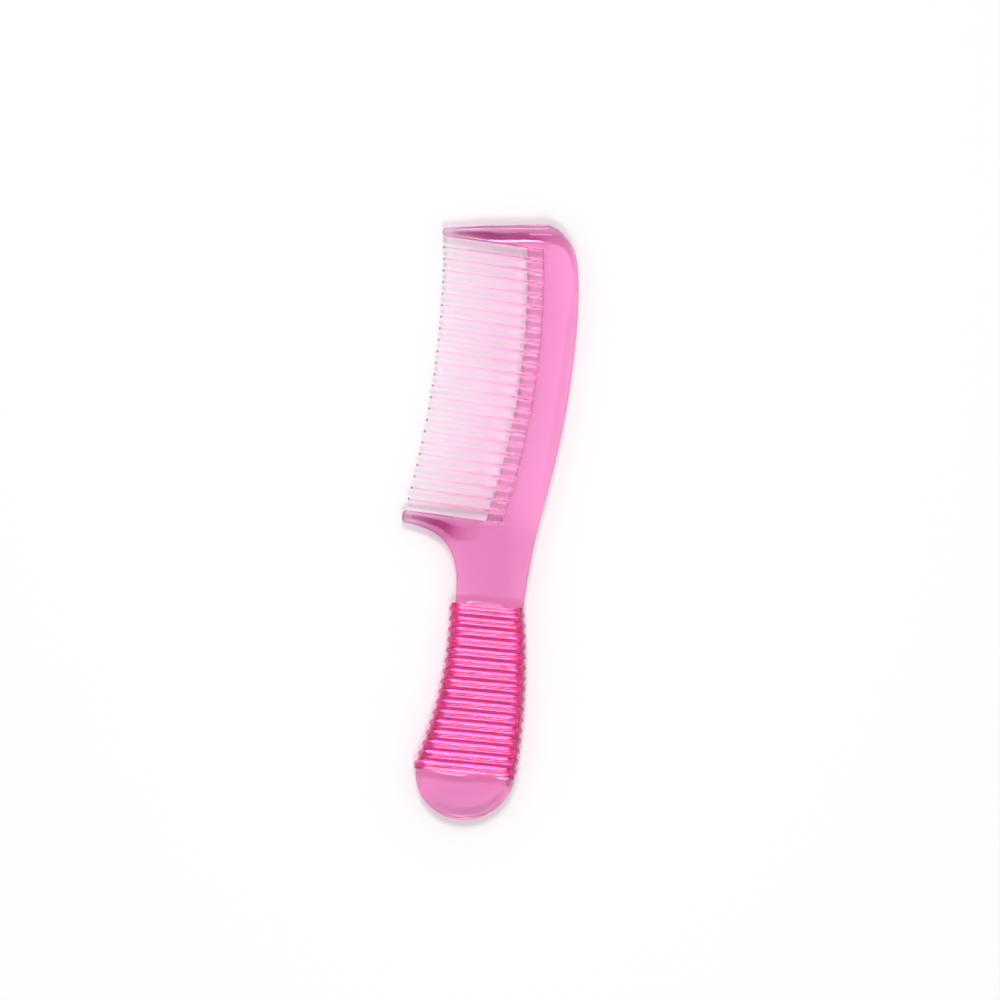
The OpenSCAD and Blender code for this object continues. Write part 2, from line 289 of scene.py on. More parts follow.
def outline_table():
    """The outline, anticlockwise, as rows of x, y and rounding."""
    runs = heel_under_runs() + handle_runs() + back_runs() + front_guard_runs() + inner_runs()
    rows = []
    for points, (start, end) in runs:
        rows.append(np.column_stack([points, np.linspace(start, end, len(points))]))
    return np.vstack(rows)


def resample(table, spacing):
    """A closed table of points at an even spacing."""
    loop = np.vstack([table, table[:1]])
    steps = np.linalg.norm(np.diff(loop[:, :2], axis=0), axis=1)
    at = np.concatenate([[0], np.cumsum(steps)])
    n = int(at[-1] / spacing)
    where = np.arange(n) * at[-1] / n
    return np.column_stack([np.interp(where, at, column) for column in loop.T])


def inward(points):
    """Unit normals that point into an anticlockwise outline."""
    along = np.roll(points, -1, axis=0) - np.roll(points, 1, axis=0)
    normals = np.column_stack([-along[:, 1], along[:, 0]])
    return normals / np.linalg.norm(normals, axis=1)[:, None]


def nearest(points):
    """A function that gives the index of the nearest of these points."""
    tree = kdtree.KDTree(len(points))
    for i, q in enumerate(points):
        tree.insert((q[0], q[1], 0), i)
    tree.balance()
    return lambda asked: np.array([tree.find((q[0], q[1], 0))[1] for q in asked])


# ---------------------------------------------------------------- the moulding's thickness, tint and painted shade

# A shallow flute runs along the middle of each guard, on both faces. Its stations, measured from the face
# that the teeth see, are x, y, half the flute's width and its depth as a share of FLUTE_DEPTH.
# the depth share also sets the painted shade in the flute: the dark band that refraction and the shadow
# beneath give each guard
FLUTE_DEPTH = 0.1
FLUTE_SPACING = 0.15
FLUTE_FLAT = 0.6        # share of the half width that has the full depth
FLUTE_FADE = 0.8        # share over which it then runs out
FRONT_FLUTE = [
    (-32, 1.6, 0.8, 0.3), (-30, 1.9, 1.1, 0.5), (-25, 2.15, 1.5, 0.8), (-20, 2.3, 1.8, 1.0),
    (-14, 2.55, 1.5, 1.0), (-8, 3.5, 1.35, 1.0), (-2, 4.2, 1.35, 0.9), (4, 4.6, 1.7, 0.5),
    (9, 3.6, 1.7, 0.3), (13, 0, 1.6, 0.2), (15, -8, 1.4, 0.12), (15.4, -40, 1.3, 0.1),
    (15.2, -65, 1.3, 0.1), (13.5, -95, 1.3, 0.0),
]
HEEL_FLUTE = [
    (-32, -2.3, 0.9, 0.4), (-30, -2.4, 1.1, 0.5), (-26, -2.9, 1.3, 0.75), (-22, -3.6, 1.6, 1.0),
    (-18, -5.0, 2.0, 0.7), (-15, -6.0, 2.4, 0.35), (-11, -5.5, 2.6, 0.15), (-6, -4.5, 2.5, 0.0),
]
RIM_SHADE_LINE = 0.9          # width of the painted shade line along the outer edge, for its contact shadow and dark refraction
HANDLE_DEEP = 0.18      # how much deeper the thick handle looks than the head
HANDLE_FROM = 8.0       # where that starts
HANDLE_FADE = 16.0      # and the length over which it comes in

GUARD_TAPER = 0.4       # share of its thickness that a guard loses towards its tip
FRONT_ZONE = HEAD - 0.5     # above this the plate tapers like the front guard
HEEL_ZONE = -20         # from here up to it, like the heel guard
SLEEVE_STEP = 0.6       # length of the steps at both ends of the tang

EDGE_SPACING = 0.42     # of the mesh's points along the edge
FINE_SPACING = 0.05     # of the points that distances are taken from
CORNER_SLACK = 0.05     # a point this far off the edge's normal belongs to a corner
CLOSE = 0.08            # nearer than this, the edge's own normal is the direction away from it
RINGS = 8               # over the rounding of the edge
GRID = 1.15             # spacing of the points inside
FLUTE_GRID = 0.4        # and in the flutes
ROW_STEP = 0.866        # height of an even triangle
GRID_GAP = 0.35         # between the last ring and the grid
RING_SHARE = 0.97       # a ring's point stays if it is this near to its own depth, less the slack
RING_SLACK = 0.01
IN_FLUTE = 0.002        # least share of the depth that counts as being in a flute
MERGE = 1e-5            # points nearer than this become one
ON_EDGE = 1e-3
TINY = 0.04             # step for the slope of the faces
FLIP = np.array([1, 1, -1])


def flute_table():
    """Both flutes as rows of x, y, half width and share of the depth, closely spaced."""
    rows = []
    for stations, base in ((FRONT_FLUTE, HEAD), (HEEL_FLUTE, 0)):
        stations = np.array(stations, float) + [0, base, 0, 0]
        steps = np.linalg.norm(np.diff(stations[:, :2], axis=0), axis=1)
        at = np.concatenate([[0], np.cumsum(steps)])
        where = np.arange(0, at[-1], FLUTE_SPACING)
        rows.append(np.column_stack([np.interp(where, at, column) for column in stations.T]))
    return np.vstack(rows)


class Plan:
    """The moulding seen from above: how far a point is from the edge, and how thick the plate is there."""

    def __init__(self):
        table = outline_table()
        self.edge = resample(table, EDGE_SPACING)
        self.fine = resample(table, FINE_SPACING)
        self.fine_in = inward(self.fine[:, :2])
        self.find = nearest(self.fine)
        self.flutes = flute_table()
        self.find_flute = nearest(self.flutes)

    def near_edge(self, p):
        """How each point lies to the edge.

        Gives its distance, the unit direction away from the edge, the rounding there, and whether the
        point is inside.
        """
        index = self.find(p)
        away = p - self.fine[index, :2]
        straight = np.linalg.norm(away, axis=1)
        along_normal = np.einsum("ij,ij->i", away, self.fine_in[index])
        at_corner = straight > np.abs(along_normal) + CORNER_SLACK
        depth = np.where(at_corner, straight, np.abs(along_normal))
        close = (straight < CLOSE)[:, None]
        direction = np.where(close, self.fine_in[index], away / np.maximum(straight, 1e-6)[:, None])
        return depth, direction, self.fine[index, 2], along_normal > 0

    def flute(self, p):
        """0 outside the guards' flutes and up to 1 in the middle of them."""
        spot = self.flutes[self.find_flute(p)]
        away = np.linalg.norm(p - spot[:, :2], axis=1) / spot[:, 2]
        return spot[:, 3] * (1 - smooth((away - FLUTE_FLAT) / FLUTE_FADE))

    def half_height(self, p):
        """Half the plate's thickness away from its edges."""
        x, y = p[:, 0], p[:, 1]
        front = 1 - GUARD_TAPER * np.clip((FRONT_SEAM - x) / (FRONT_SEAM + REACH), 0, 1)
        heel = 1 - GUARD_TAPER * np.clip((HEEL_SEAM - x) / (HEEL_SEAM + REACH), 0, 1)
        h = PLATE_H * np.where(y > FRONT_ZONE, front, np.where(y > HEEL_ZONE, heel, 1.0))
        h = h - FLUTE_DEPTH * self.flute(p)
        # the handle is thinner inside the sleeve
        up = y - SLANT * x
        below_top = smooth((GRIP_TOP + SLEEVE_STEP - up) / SLEEVE_STEP)
        above_end = smooth((up - GRIP_END + SLEEVE_STEP) / SLEEVE_STEP)
        return h + (TANG_H - TANG_GAP - h) * below_top * above_end

    def slope(self, p):
        """How fast the half height grows along x and along y."""
        return np.column_stack([
            (self.half_height(p + shift) - self.half_height(p - shift)) / (2 * TINY)
            for shift in (np.array([TINY, 0]), np.array([0, TINY]))
        ])


def moulding_points(plan):
    """Points of the plan: the edge, rings that follow it over its rounding, and a grid inside."""
    edge, edge_round = plan.edge[:, :2], plan.edge[:, 2]
    normals = inward(edge)
    rings = [edge]
    for k in range(1, RINGS + 1):
        depth = edge_round * (1 - math.cos(math.radians(90) * k / RINGS))
        ring = edge + normals * depth[:, None]
        found, _, _, inside = plan.near_edge(ring)
        rings.append(ring[inside & (found > depth * RING_SHARE - RING_SLACK)])
    low, high = edge.min(axis=0), edge.max(axis=0)
    for step, fluted in ((GRID, False), (FLUTE_GRID, True)):
        row = step * ROW_STEP
        ys, xs = np.meshgrid(np.arange(low[1], high[1], row), np.arange(low[0], high[0], step))
        shift = (np.round((ys - low[1]) / row) % 2) * step / 2
        grid = np.column_stack([(xs + shift).ravel(), ys.ravel()])
        grid = grid[(plan.flute(grid) > IN_FLUTE) == fluted]
        found, _, rounding, inside = plan.near_edge(grid)
        rings.append(grid[inside & (found > rounding + GRID_GAP)])
    return np.vstack(rings)


def top_face(plan, flat):
    """The moulding's upper face over these points.

    Gives their heights, the unit normals, the strength of the painted shade and the handle's darker tint, and
    which points are on the edge.
    """
    depth, away, rounding, _ = plan.near_edge(flat)
    on_edge = depth < ON_EDGE
    share = np.clip(depth / rounding, 0, 1)
    arch = np.sqrt(1 - (1 - share) ** 2)
    tall = plan.half_height(flat)
    height = np.where(on_edge, 0, tall * arch)

    rounded = tall * (1 - share) / (rounding * np.maximum(arch, 1e-4))
    rise = rounded[:, None] * away + plan.slope(flat) * arch[:, None]
    normal = np.column_stack([-rise, np.ones(len(flat))])
    normal[on_edge] = np.column_stack([-away[on_edge], np.zeros(on_edge.sum())])
    normal /= np.linalg.norm(normal, axis=1)[:, None]

    # painted shade: a dark line along the outer edge, where the comb's contact shadow and dark refraction
    # fall
    rim_shade = (1 - smooth(depth / RIM_SHADE_LINE)) * (rounding > ROUND_TANG + 0.01)
    handle = HANDLE_DEEP * smooth((HANDLE_FROM - flat[:, 1]) / HANDLE_FADE)
    # painted shade in the guards' flutes and along the outer edge, plus the darker tint towards the handle
    painted_shade_and_tint = np.clip(plan.flute(flat) + rim_shade + handle, 0, 1)
    return height, normal, painted_shade_and_tint, on_edge


def moulding():
    """The injection moulding without its web and teeth: guards, spine, neck, tang and butt in one skin."""
    plan = Plan()
    cloud = [Vector(q) for q in moulding_points(plan)]
    n = len(plan.edge)
    edges = [(i, (i + 1) % n) for i in range(n)]
    flat, _, faces, _, _, _ = geometry.delaunay_2d_cdt(cloud, edges, [], 1, MERGE)
    flat = np.array([(q[0], q[1]) for q in flat])
    height, normal, painted_shade_and_tint, on_edge = top_face(plan, flat)

    # the underside mirrors the upper face and shares its points on the edge
    below = np.cumsum(~on_edge) - 1 + len(flat)
    mirror = np.where(on_edge, np.arange(len(flat)), below)
    top = np.column_stack([flat, height])
    verts = np.vstack([top, (top * FLIP)[~on_edge]])
    normals = np.vstack([normal, (normal * FLIP)[~on_edge]])
    painted_shade_and_tint = np.concatenate([painted_shade_and_tint, painted_shade_and_tint[~on_edge]])
    tris = [tuple(f) for f in faces]
    tris += [tuple(int(mirror[i]) for i in reversed(f)) for f in faces]
    return make_piece("comb_moulding", verts, tris, normals=normals, painted_shade_and_tint=painted_shade_and_tint)


# ---------------------------------------------------------------- meshes


def make_piece(name, verts, faces, normals=None, sharp_deg=None, painted_shade_and_tint=None):
    """A mesh object in the row frame, from points in the comb's own plane.

    The last argument gives, from 0 to 1, how strongly painted shade and the handle's darker tint are laid at
    each point.
    """
    mesh = bpy.data.meshes.new(name)
    mesh.from_pydata([tuple(v) for v in to_row(verts)], [], faces)
    mesh.validate()
    mesh.update()
    mesh.shade_smooth()
    if sharp_deg is not None:
        mesh.set_sharp_from_angle(angle=math.radians(sharp_deg))
    if normals is not None:
        mesh.normals_split_custom_set_from_vertices([tuple(v) for v in normals])
    if painted_shade_and_tint is not None:
        layer = mesh.attributes.new("painted_shade_and_tint", "FLOAT", "POINT")
        layer.data.foreach_set("value", np.asarray(painted_shade_and_tint, np.float32))
    piece = bpy.data.objects.new(name, mesh)
    bpy.context.collection.objects.link(piece)
    return piece


def loft(rings, closed=False):
    """Vertices and faces of a skin over rings of equal size, capped at both ends or joined into a tube."""
    n, m = len(rings[0]), len(rings)
    verts = np.vstack(rings)
    faces = []
    for k in range(m if closed else m - 1):
        nxt = (k + 1) % m
        for i in range(n):
            j = (i + 1) % n
            faces.append((k * n + i, k * n + j, nxt * n + j, nxt * n + i))
    if not closed:
        faces += [tuple(range(n - 1, -1, -1)), tuple(range((m - 1) * n, m * n))]
    return verts, faces


# ---------------------------------------------------------------- teeth

BAR_HALF = 0.6          # half the width of the bar that carries a tooth on over the web
BAR_SHORT = 0.3         # the bar ends this share of the step's rounding before the spine
JOINT = 0.02            # left between pieces of the visual that touch
TOOTH_POWER = 1.08      # of a tooth's section: 1 would be a plain diamond
TOOTH_TAPER = 0.35      # share of its width and depth that a tooth loses towards its tip
ROOT_SWELL = 1.8        # length over which it widens out of its bar
TIP_ROUND = 1.1         # length of its rounded tip
BODY_STEPS = 19         # along its body, round its tip and up its section
TIP_STEPS = 7
SECTION_STEPS = 15
TIP_FLAT = 0.06         # size of the facet that closes the tip, as a share
TOOTH_CREASE = 38


def tooth_width(level):
    """Width of a tooth's section at a share of its half height, as a share of its full width."""
    return np.clip(1 - np.abs(level), 0, 1) ** (1 / TOOTH_POWER)


def tooth_stations(length, bar_end):
    """Distance past the root, half width and share of the full depth, from the spine to the tooth's tip."""
    stations = [(-bar_end * s, BAR_HALF, 1.0) for s in (1, 0.75, 0.5, 0.25, 0.0)]
    for along in np.linspace(0, length - TIP_ROUND, BODY_STEPS)[1:]:
        swell = smooth(along / ROOT_SWELL)
        scale = 1 - TOOTH_TAPER * along / length
        stations.append((along, BAR_HALF + (scale * TOOTH_W / 2 - BAR_HALF) * swell, scale))
    for k in range(1, TIP_STEPS + 1):
        a = math.radians(90) * k / TIP_STEPS
        size = max(math.cos(a), TIP_FLAT) * (1 - TOOTH_TAPER)
        stations.append((length - TIP_ROUND * (1 - math.sin(a)), size * TOOTH_W / 2, size))
    return stations


def tooth(name):
    """A tapering tooth, ridged along both faces, with a rounded tip and a narrower bar over the web."""
    low, high = comb_box(name)
    y, root = (low[1] + high[1]) / 2, high[0]
    bar_end = web_back_x(y) - root - ROUND_STEP * BAR_SHORT - JOINT
    levels = np.sin(np.linspace(-math.pi / 2, math.pi / 2, SECTION_STEPS))
    side = tooth_width(levels)
    rings = []
    for along, wide, scale in tooth_stations(root - low[0], bar_end):
        tall = scale * TOOTH_H
        right = [(root - along, y + wide * w, tall * v) for v, w in zip(levels, side)]
        left = [(root - along, y - wide * w, tall * v) for v, w in zip(levels[-2:0:-1], side[-2:0:-1])]
        rings.append(np.array(right + left))
    verts, faces = loft(rings)
    outward = [tuple(reversed(f)) for f in faces]
    return make_piece(name + "_visual", verts, outward, sharp_deg=TOOTH_CREASE)


# ---------------------------------------------------------------- web

WEB_H = 0.9             # half the web's thickness in its windows
WINDOW_SOFT = 0.18      # rounding of a window along the bars
WINDOW_EDGE = 0.75      # its thickness at that rounding's foot, as a share
WINDOW_END = 0.03       # rounding at its two ends, as a share of its length
WINDOW_DROP = 0.4       # how far it drops there
WINDOW_SHADE = 0.05      # least strength of the painted shade over the whole window
SIDE_SHADE_LINE = (0.02, 0.10)    # painted shade line at its ends, by the recess walls: where it starts to fade and over how much
CORNER_SHADE_LINE = 0.5       # width of the painted shade line along the bars, and its strength
CORNER_SHADE_STRENGTH = 0.5
WEB_CREASE = 40


def window(bottom, top):
    """One recessed window of the web, between two bars: a thin block with soft edges, and the painted shade
    laid on it.
    """
    soft = WINDOW_SOFT * np.array([0, 0.3, 1])
    ys = np.concatenate([bottom + soft, np.linspace(bottom, top, 8)[1:-1], top - soft[::-1]])
    shares = np.concatenate([[0, 0.01, 0.03], np.linspace(0.08, 0.92, 10), [0.97, 0.99, 1.0]])
    from_end = np.minimum(shares, 1 - shares)
    end = 1 - np.clip(from_end / WINDOW_END, 0, 1)
    side = 1 - smooth((from_end - SIDE_SHADE_LINE[0]) / SIDE_SHADE_LINE[1])
    rings, painted_shade_and_tint = [], []
    for y in ys:
        from_bar = min(y - bottom, top - y)
        rise = math.sqrt(1 - (1 - min(1, from_bar / WINDOW_SOFT)) ** 2)
        thick = WEB_H * (WINDOW_EDGE + (1 - WINDOW_EDGE) * rise)
        lift = thick * np.sqrt(1 - WINDOW_DROP * end**2)
        xs = root_x(y) + (web_back_x(y) - root_x(y) - JOINT) * shares
        row = np.column_stack([xs, np.full(len(xs), y), lift])
        rings.append(np.vstack([row, (row * FLIP)[::-1]]))
        # painted shade, deepest at the window's ends and along the bars, where its recess walls shade it
        corner = 1 - smooth(from_bar / CORNER_SHADE_LINE)
        tint = WINDOW_SHADE + (1 - WINDOW_SHADE) * np.maximum(side, CORNER_SHADE_STRENGTH * corner)
        painted_shade_and_tint.append(np.concatenate([tint, tint[::-1]]))
    verts, faces = loft(rings)
    return verts, faces, np.concatenate(painted_shade_and_tint)


def web():
    """The web's windows, one between each pair of bars, as one piece."""
    bars = sorted(TOOTH_YS)
    bottoms = [JOINT] + [y + BAR_HALF + JOINT for y in bars]
    tops = [y - BAR_HALF - JOINT for y in bars] + [HEAD - JOINT]
    verts, faces, painted_shade_and_tint = [], [], []
    start = 0
    for bottom, top in zip(bottoms, tops):
        block, sides, tint = window(bottom, top)
        verts.append(block)
        faces += [tuple(start + i for i in face) for face in sides]
        painted_shade_and_tint.append(tint)
        start += len(block)
    painted_shade_and_tint = np.concatenate(painted_shade_and_tint)
    return make_piece("web_strip", np.vstack(verts), faces, sharp_deg=WEB_CREASE, painted_shade_and_tint=painted_shade_and_tint)


# ---------------------------------------------------------------- grip sleeve

GRIP_SIDE = 24          # steps round each side of a ring
GRIP_FLAT = 18          # and across each of its faces
RIB_HALF = RIB_PITCH * 0.31     # half a rib's width
RIB_ARCH = (2.6, 0.9)   # exponents of its profile, fuller than a half circle
RIB_RINGS = 19          # over each rib
RIB_SHADE_LIMIT = 0.5         # share of a rib's height above which it gets no painted shade
CREST = 0.012           # how far the crests stay inside the CAD's box
VALLEY = RIB_H + 0.03   # and the valleys
VALLEY_STOPS = (0.36, 0.43, 0.5, 0.57, 0.64)    # rings in a valley, as shares of the pitch
# The sleeve's outer mouths: distance from its end, inset below the valleys, and the strength of the painted
# shade there
MOUTH = [(0.0, 0.35, 0.6), (0.08, 0.12, 0.4), (0.3, 0.0, 0.3)]
BORE = RIB_H + WALL
BORE_MOUTH = 0.35       # length of the bore's flare at both ends
BORE_FLARE = 0.3        # and its width
BORE_RINGS = 60
SLEEVE_SIDE_SHADE = 1.6         # painted shade darkens the tint this near to the sleeve's sides
SIDE_FADE = 1.2         # and fades over this
GRIP_CREASE = 50


def grip_ring(y, inset, corner=None):
    """A flat oval across the handle, drawn in from the outside of the ribs.

    corner is the radius of its corners. Without one, its sides are half circles.
    """
    half = SLEEVE_H + RIB_H - inset
    corner = half if corner is None else corner
    right, left = rib_right(y) - inset - corner, rib_left(y) + inset + corner
    flat = half - corner
    quarter = GRIP_SIDE // 2 + 1
    ring = []
    for centre, other, sign, first in ((right, left, 1, -90), (left, right, -1, 90)):
        for a in np.radians(np.linspace(first, first + 90, quarter)):
            ring.append((centre + corner * math.cos(a), -sign * flat + corner * math.sin(a)))
        for a in np.radians(np.linspace(first + 90, first + 180, quarter)):
            ring.append((centre + corner * math.cos(a), sign * flat + corner * math.sin(a)))
        ring += [(x, sign * half) for x in np.linspace(centre, other, GRIP_FLAT)[1:-1]]
    ring = np.array(ring)
    return np.column_stack([ring[:, 0], y + SLANT * ring[:, 0], ring[:, 1]])


def sleeve_outside():
    """Height along the handle, inset and painted shade of the outer rings: ribs, the valleys between them,
    mouths.
    """
    rings = [(GRIP_TOP - along, VALLEY + inset, tint) for along, inset, tint in MOUTH]
    for y in RIB_YS:
        for v in np.linspace(-1, 1, RIB_RINGS):
            lift = (1 - abs(v) ** RIB_ARCH[0]) ** RIB_ARCH[1]
            inset = VALLEY + (CREST - VALLEY) * lift
            rings.append((y - RIB_HALF * v, inset, 1 - smooth(lift / RIB_SHADE_LIMIT)))
        if y != RIB_YS[-1]:
            rings += [(y - RIB_PITCH * s, VALLEY, 1.0) for s in VALLEY_STOPS]
    rings += [(GRIP_END + along, VALLEY + inset, tint) for along, inset, tint in reversed(MOUTH)]
    return rings


def sleeve_bore():
    """Height along the handle and inset of the rings of the bore."""
    low, high = GRIP_END + BORE_MOUTH, GRIP_TOP - BORE_MOUTH
    rings = [(GRIP_END, BORE - BORE_FLARE)]
    rings += [(y, BORE) for y in np.linspace(low, high, BORE_RINGS)]
    rings.append((GRIP_TOP, BORE - BORE_FLARE))
    return rings


def sleeve():
    """The ribbed sleeve over the tang, with rounded ribs, valleys between them and chamfered mouths."""
    outer, inner = sleeve_outside(), sleeve_bore()
    rings = [grip_ring(y, inset) for y, inset, _ in outer]
    rings += [grip_ring(y, inset, ROUND_TANG) for y, inset in inner]
    verts, faces = loft(rings, closed=True)
    # painted shade in the valleys between the ribs, at the mouths and along the sleeve's sides
    valley_shade = np.repeat([tint for _, _, tint in outer] + [0.0] * len(inner), len(rings[0]))
    x, y = verts[:, 0], verts[:, 1]
    from_side = np.minimum(x - rib_left(y), rib_right(y) - x)
    painted_shade_and_tint = np.maximum(valley_shade, 1 - smooth((from_side - SLEEVE_SIDE_SHADE) / SIDE_FADE))
    return make_piece("grip_sleeve_visual", verts, faces, sharp_deg=GRIP_CREASE, painted_shade_and_tint=painted_shade_and_tint)


# ---------------------------------------------------------------- materials

PLASTIC_IOR = 1.5
UNEVEN_SCALE = 38.0     # of the clouds in the dye
SCRATCH_STRETCH = (900, 60, 900)    # scratches run along the comb
SCRATCHES = (0.45, 0.8)     # range of the scratch noise that roughens
WORN = (0.52, 0.62)     # range of pointiness that counts as a worn edge
WORN_SHARE = 0.6        # of the haze, at such an edge
WAVE_SCALE = 120.0      # of the waves that a cooling moulding keeps
WAVE_HEIGHT = 0.0003
WAVE_STRENGTH = 0.25


def node(tree, kind, x, y, **values):
    """A shader node. Each value goes to the input of that name or, failing one, to the node's own setting."""
    made = tree.nodes.new(kind)
    made.location = (x, y)
    for key, value in values.items():
        if key in made.inputs:
            made.inputs[key].default_value = value
        else:
            setattr(made, key, value)
    return made


def map_range(tree, x, y, source, target):
    """A Map Range node from one (low, high) pair to another."""
    made = node(tree, "ShaderNodeMapRange", x, y)
    for end, low_high in (("From", source), ("To", target)):
        made.inputs[end + " Min"].default_value = low_high[0]
        made.inputs[end + " Max"].default_value = low_high[1]
    return made


def ramp(tree, x, y, low, high):
    """A colour ramp between two (position, colour) stops."""
    made = node(tree, "ShaderNodeValToRGB", x, y)
    for stop, (position, colour) in zip(made.color_ramp.elements, (low, high)):
        stop.position = position
        stop.color = (*colour, 1)
    return made


def dye_and_shade_colour(tree, place, painted_shade_and_tint, tone):
    """A slightly uneven tone, which gives way to painted shade, and to the handle's darker tint, where the
    piece's attribute says so.
    """
    cloud = node(tree, "ShaderNodeTexNoise", -500, 300, Scale=UNEVEN_SCALE, Detail=3.0)
    thick = (tone[0], 0.93 * tone[1], 0.965 * tone[2])
    thin = (tone[0], 0.985 * tone[1], 0.995 * tone[2])
    tint = ramp(tree, -200, 300, (0.3, thick), (0.75, thin))
    depth = node(tree, "ShaderNodeAttribute", -200, 560, attribute_name="painted_shade_and_tint")
    blend = node(tree, "ShaderNodeMix", 150, 350, data_type="RGBA")
    blend.inputs["B"].default_value = (*painted_shade_and_tint, 1)
    tree.links.new(place.outputs["Object"], cloud.inputs["Vector"])
    tree.links.new(cloud.outputs["Fac"], tint.inputs["Fac"])
    tree.links.new(depth.outputs["Fac"], blend.inputs["Factor"])
    tree.links.new(tint.outputs["Color"], blend.inputs["A"])
    return blend.outputs["Result"]


def worn_roughness(tree, place, rough, haze):
    """Fine scratches along the comb, and edges worn dull by use."""
    stretch = node(tree, "ShaderNodeMapping", -700, -100, Scale=SCRATCH_STRETCH)
    scratch = node(tree, "ShaderNodeTexNoise", -500, -100, Scale=1.0, Detail=4.0, Roughness=0.65)
    scuffs = map_range(tree, -250, -100, SCRATCHES, (rough, rough + haze))
    wear = node(tree, "ShaderNodeNewGeometry", -500, -350)
    worn = map_range(tree, -250, -350, WORN, (0.0, haze * WORN_SHARE))
    total = node(tree, "ShaderNodeMath", 0, -200, operation="ADD")
    tree.links.new(place.outputs["Object"], stretch.inputs["Vector"])
    tree.links.new(stretch.outputs["Vector"], scratch.inputs["Vector"])
    tree.links.new(scratch.outputs["Fac"], scuffs.inputs["Value"])
    tree.links.new(wear.outputs["Pointiness"], worn.inputs["Value"])
    tree.links.new(scuffs.outputs["Result"], total.inputs[0])
    tree.links.new(worn.outputs["Result"], total.inputs[1])
    return total.outputs["Value"]


def cooled_waves(tree, place):
    """The soft waves that a cooling moulding keeps, as a bump."""
    wave = node(tree, "ShaderNodeTexNoise", -500, -600, Scale=WAVE_SCALE, Detail=2.0, Roughness=0.4)
    bump = node(tree, "ShaderNodeBump", 200, -500, Strength=WAVE_STRENGTH, Distance=WAVE_HEIGHT)
    tree.links.new(place.outputs["Object"], wave.inputs["Vector"])
    tree.links.new(wave.outputs["Fac"], bump.inputs["Height"])
    return bump.outputs["Normal"]


def plastic(name, absorb, density, painted_shade_and_tint, rough, haze, tone=(1.0, 1.0, 1.0)):
    """Clear dyed plastic.

    absorb and density are the dye in its volume, and tone tints its surface. The other surface colour is
    painted shade, and the handle's darker tint, laid where the piece's attribute asks. rough is its roughness
    and haze what scratches and wear add to that.
    """
    material = bpy.data.materials.new(name)
    material.use_nodes = True
    tree = material.node_tree
    tree.nodes.clear()
    output = node(tree, "ShaderNodeOutputMaterial", 900, 0)
    shader = node(tree, "ShaderNodeBsdfPrincipled", 600, 0, IOR=PLASTIC_IOR)
    shader.inputs["Transmission Weight"].default_value = 1.0
    volume = node(tree, "ShaderNodeVolumeAbsorption", 600, -420, Density=density)
    volume.inputs["Color"].default_value = (*absorb, 1)
    place = node(tree, "ShaderNodeTexCoord", -900, 0)
    tree.links.new(dye_and_shade_colour(tree, place, painted_shade_and_tint, tone), shader.inputs["Base Color"])
    tree.links.new(worn_roughness(tree, place, rough, haze), shader.inputs["Roughness"])
    tree.links.new(cooled_waves(tree, place), shader.inputs["Normal"])
    tree.links.new(shader.outputs["BSDF"], output.inputs["Surface"])
    tree.links.new(volume.outputs["Volume"], output.inputs["Volume"])
    return material


def floor_paint():
    """Matt white paper with a faint unevenness."""
    material = bpy.data.materials.new("floor_paper")
    material.use_nodes = True
    tree = material.node_tree
    shader = tree.nodes["Principled BSDF"]
    shader.inputs["Roughness"].default_value = 0.7
    shader.inputs["Specular IOR Level"].default_value = 0.2
    grain = node(tree, "ShaderNodeTexNoise", -500, 0, Scale=6.0, Detail=2.0)
    shade = ramp(tree, -250, 0, (0.0, (0.88, 0.88, 0.885)), (1.0, (0.90, 0.90, 0.905)))
    tree.links.new(grain.outputs["Fac"], shade.inputs["Fac"])
    tree.links.new(shade.outputs["Color"], shader.inputs["Base Color"])
    return material


# ---------------------------------------------------------------- the comb

# the second colour of each plastic below is painted shade, mixed into the surface where the piece's attribute
# asks
clear_pink = plastic(
    "clear_pink", absorb=(0.94, 0.10, 0.66), density=98.0, painted_shade_and_tint=(0.60, 0.22, 0.44), rough=0.02, haze=0.08)
# the web's plastic is a denser copy of the moulding's: its deeper colour is painted shade for the recessed
# windows
web_pink = plastic(
    "web_pink", absorb=(0.99, 0.10, 0.68), density=235.0, painted_shade_and_tint=(0.96, 0.55, 0.76), rough=0.02, haze=0.08)
tooth_pink = plastic(
    "tooth_pink", absorb=(0.96, 0.10, 0.66), density=145.0, painted_shade_and_tint=(0.9, 0.7, 0.8), rough=0.02, haze=0.06)
grip_pink = plastic(
    "grip_pink", absorb=(0.98, 0.10, 0.74), density=205.0, painted_shade_and_tint=(1.0, 0.68, 0.92), rough=0.03, haze=0.08,
    tone=(1.0, 0.77, 0.89))

MOULDED = ("spine", "front_guard", "heel_guard", "neck", "tang", "butt")


def finish_piece(piece, material, slot, *nodes):
    piece.data.materials.append(material)
    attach(piece, "root")
    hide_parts(*nodes)


finish_piece(moulding(), clear_pink, "clear_pink", *MOULDED)
finish_piece(web(), web_pink, "web_pink", "root_web")
finish_piece(sleeve(), grip_pink, "grip_pink", "grip_sleeve", *RIBS)
for name in TEETH:
    finish_piece(tooth(name), tooth_pink, "tooth_pink", name)

# ---------------------------------------------------------------- floor, light and camera

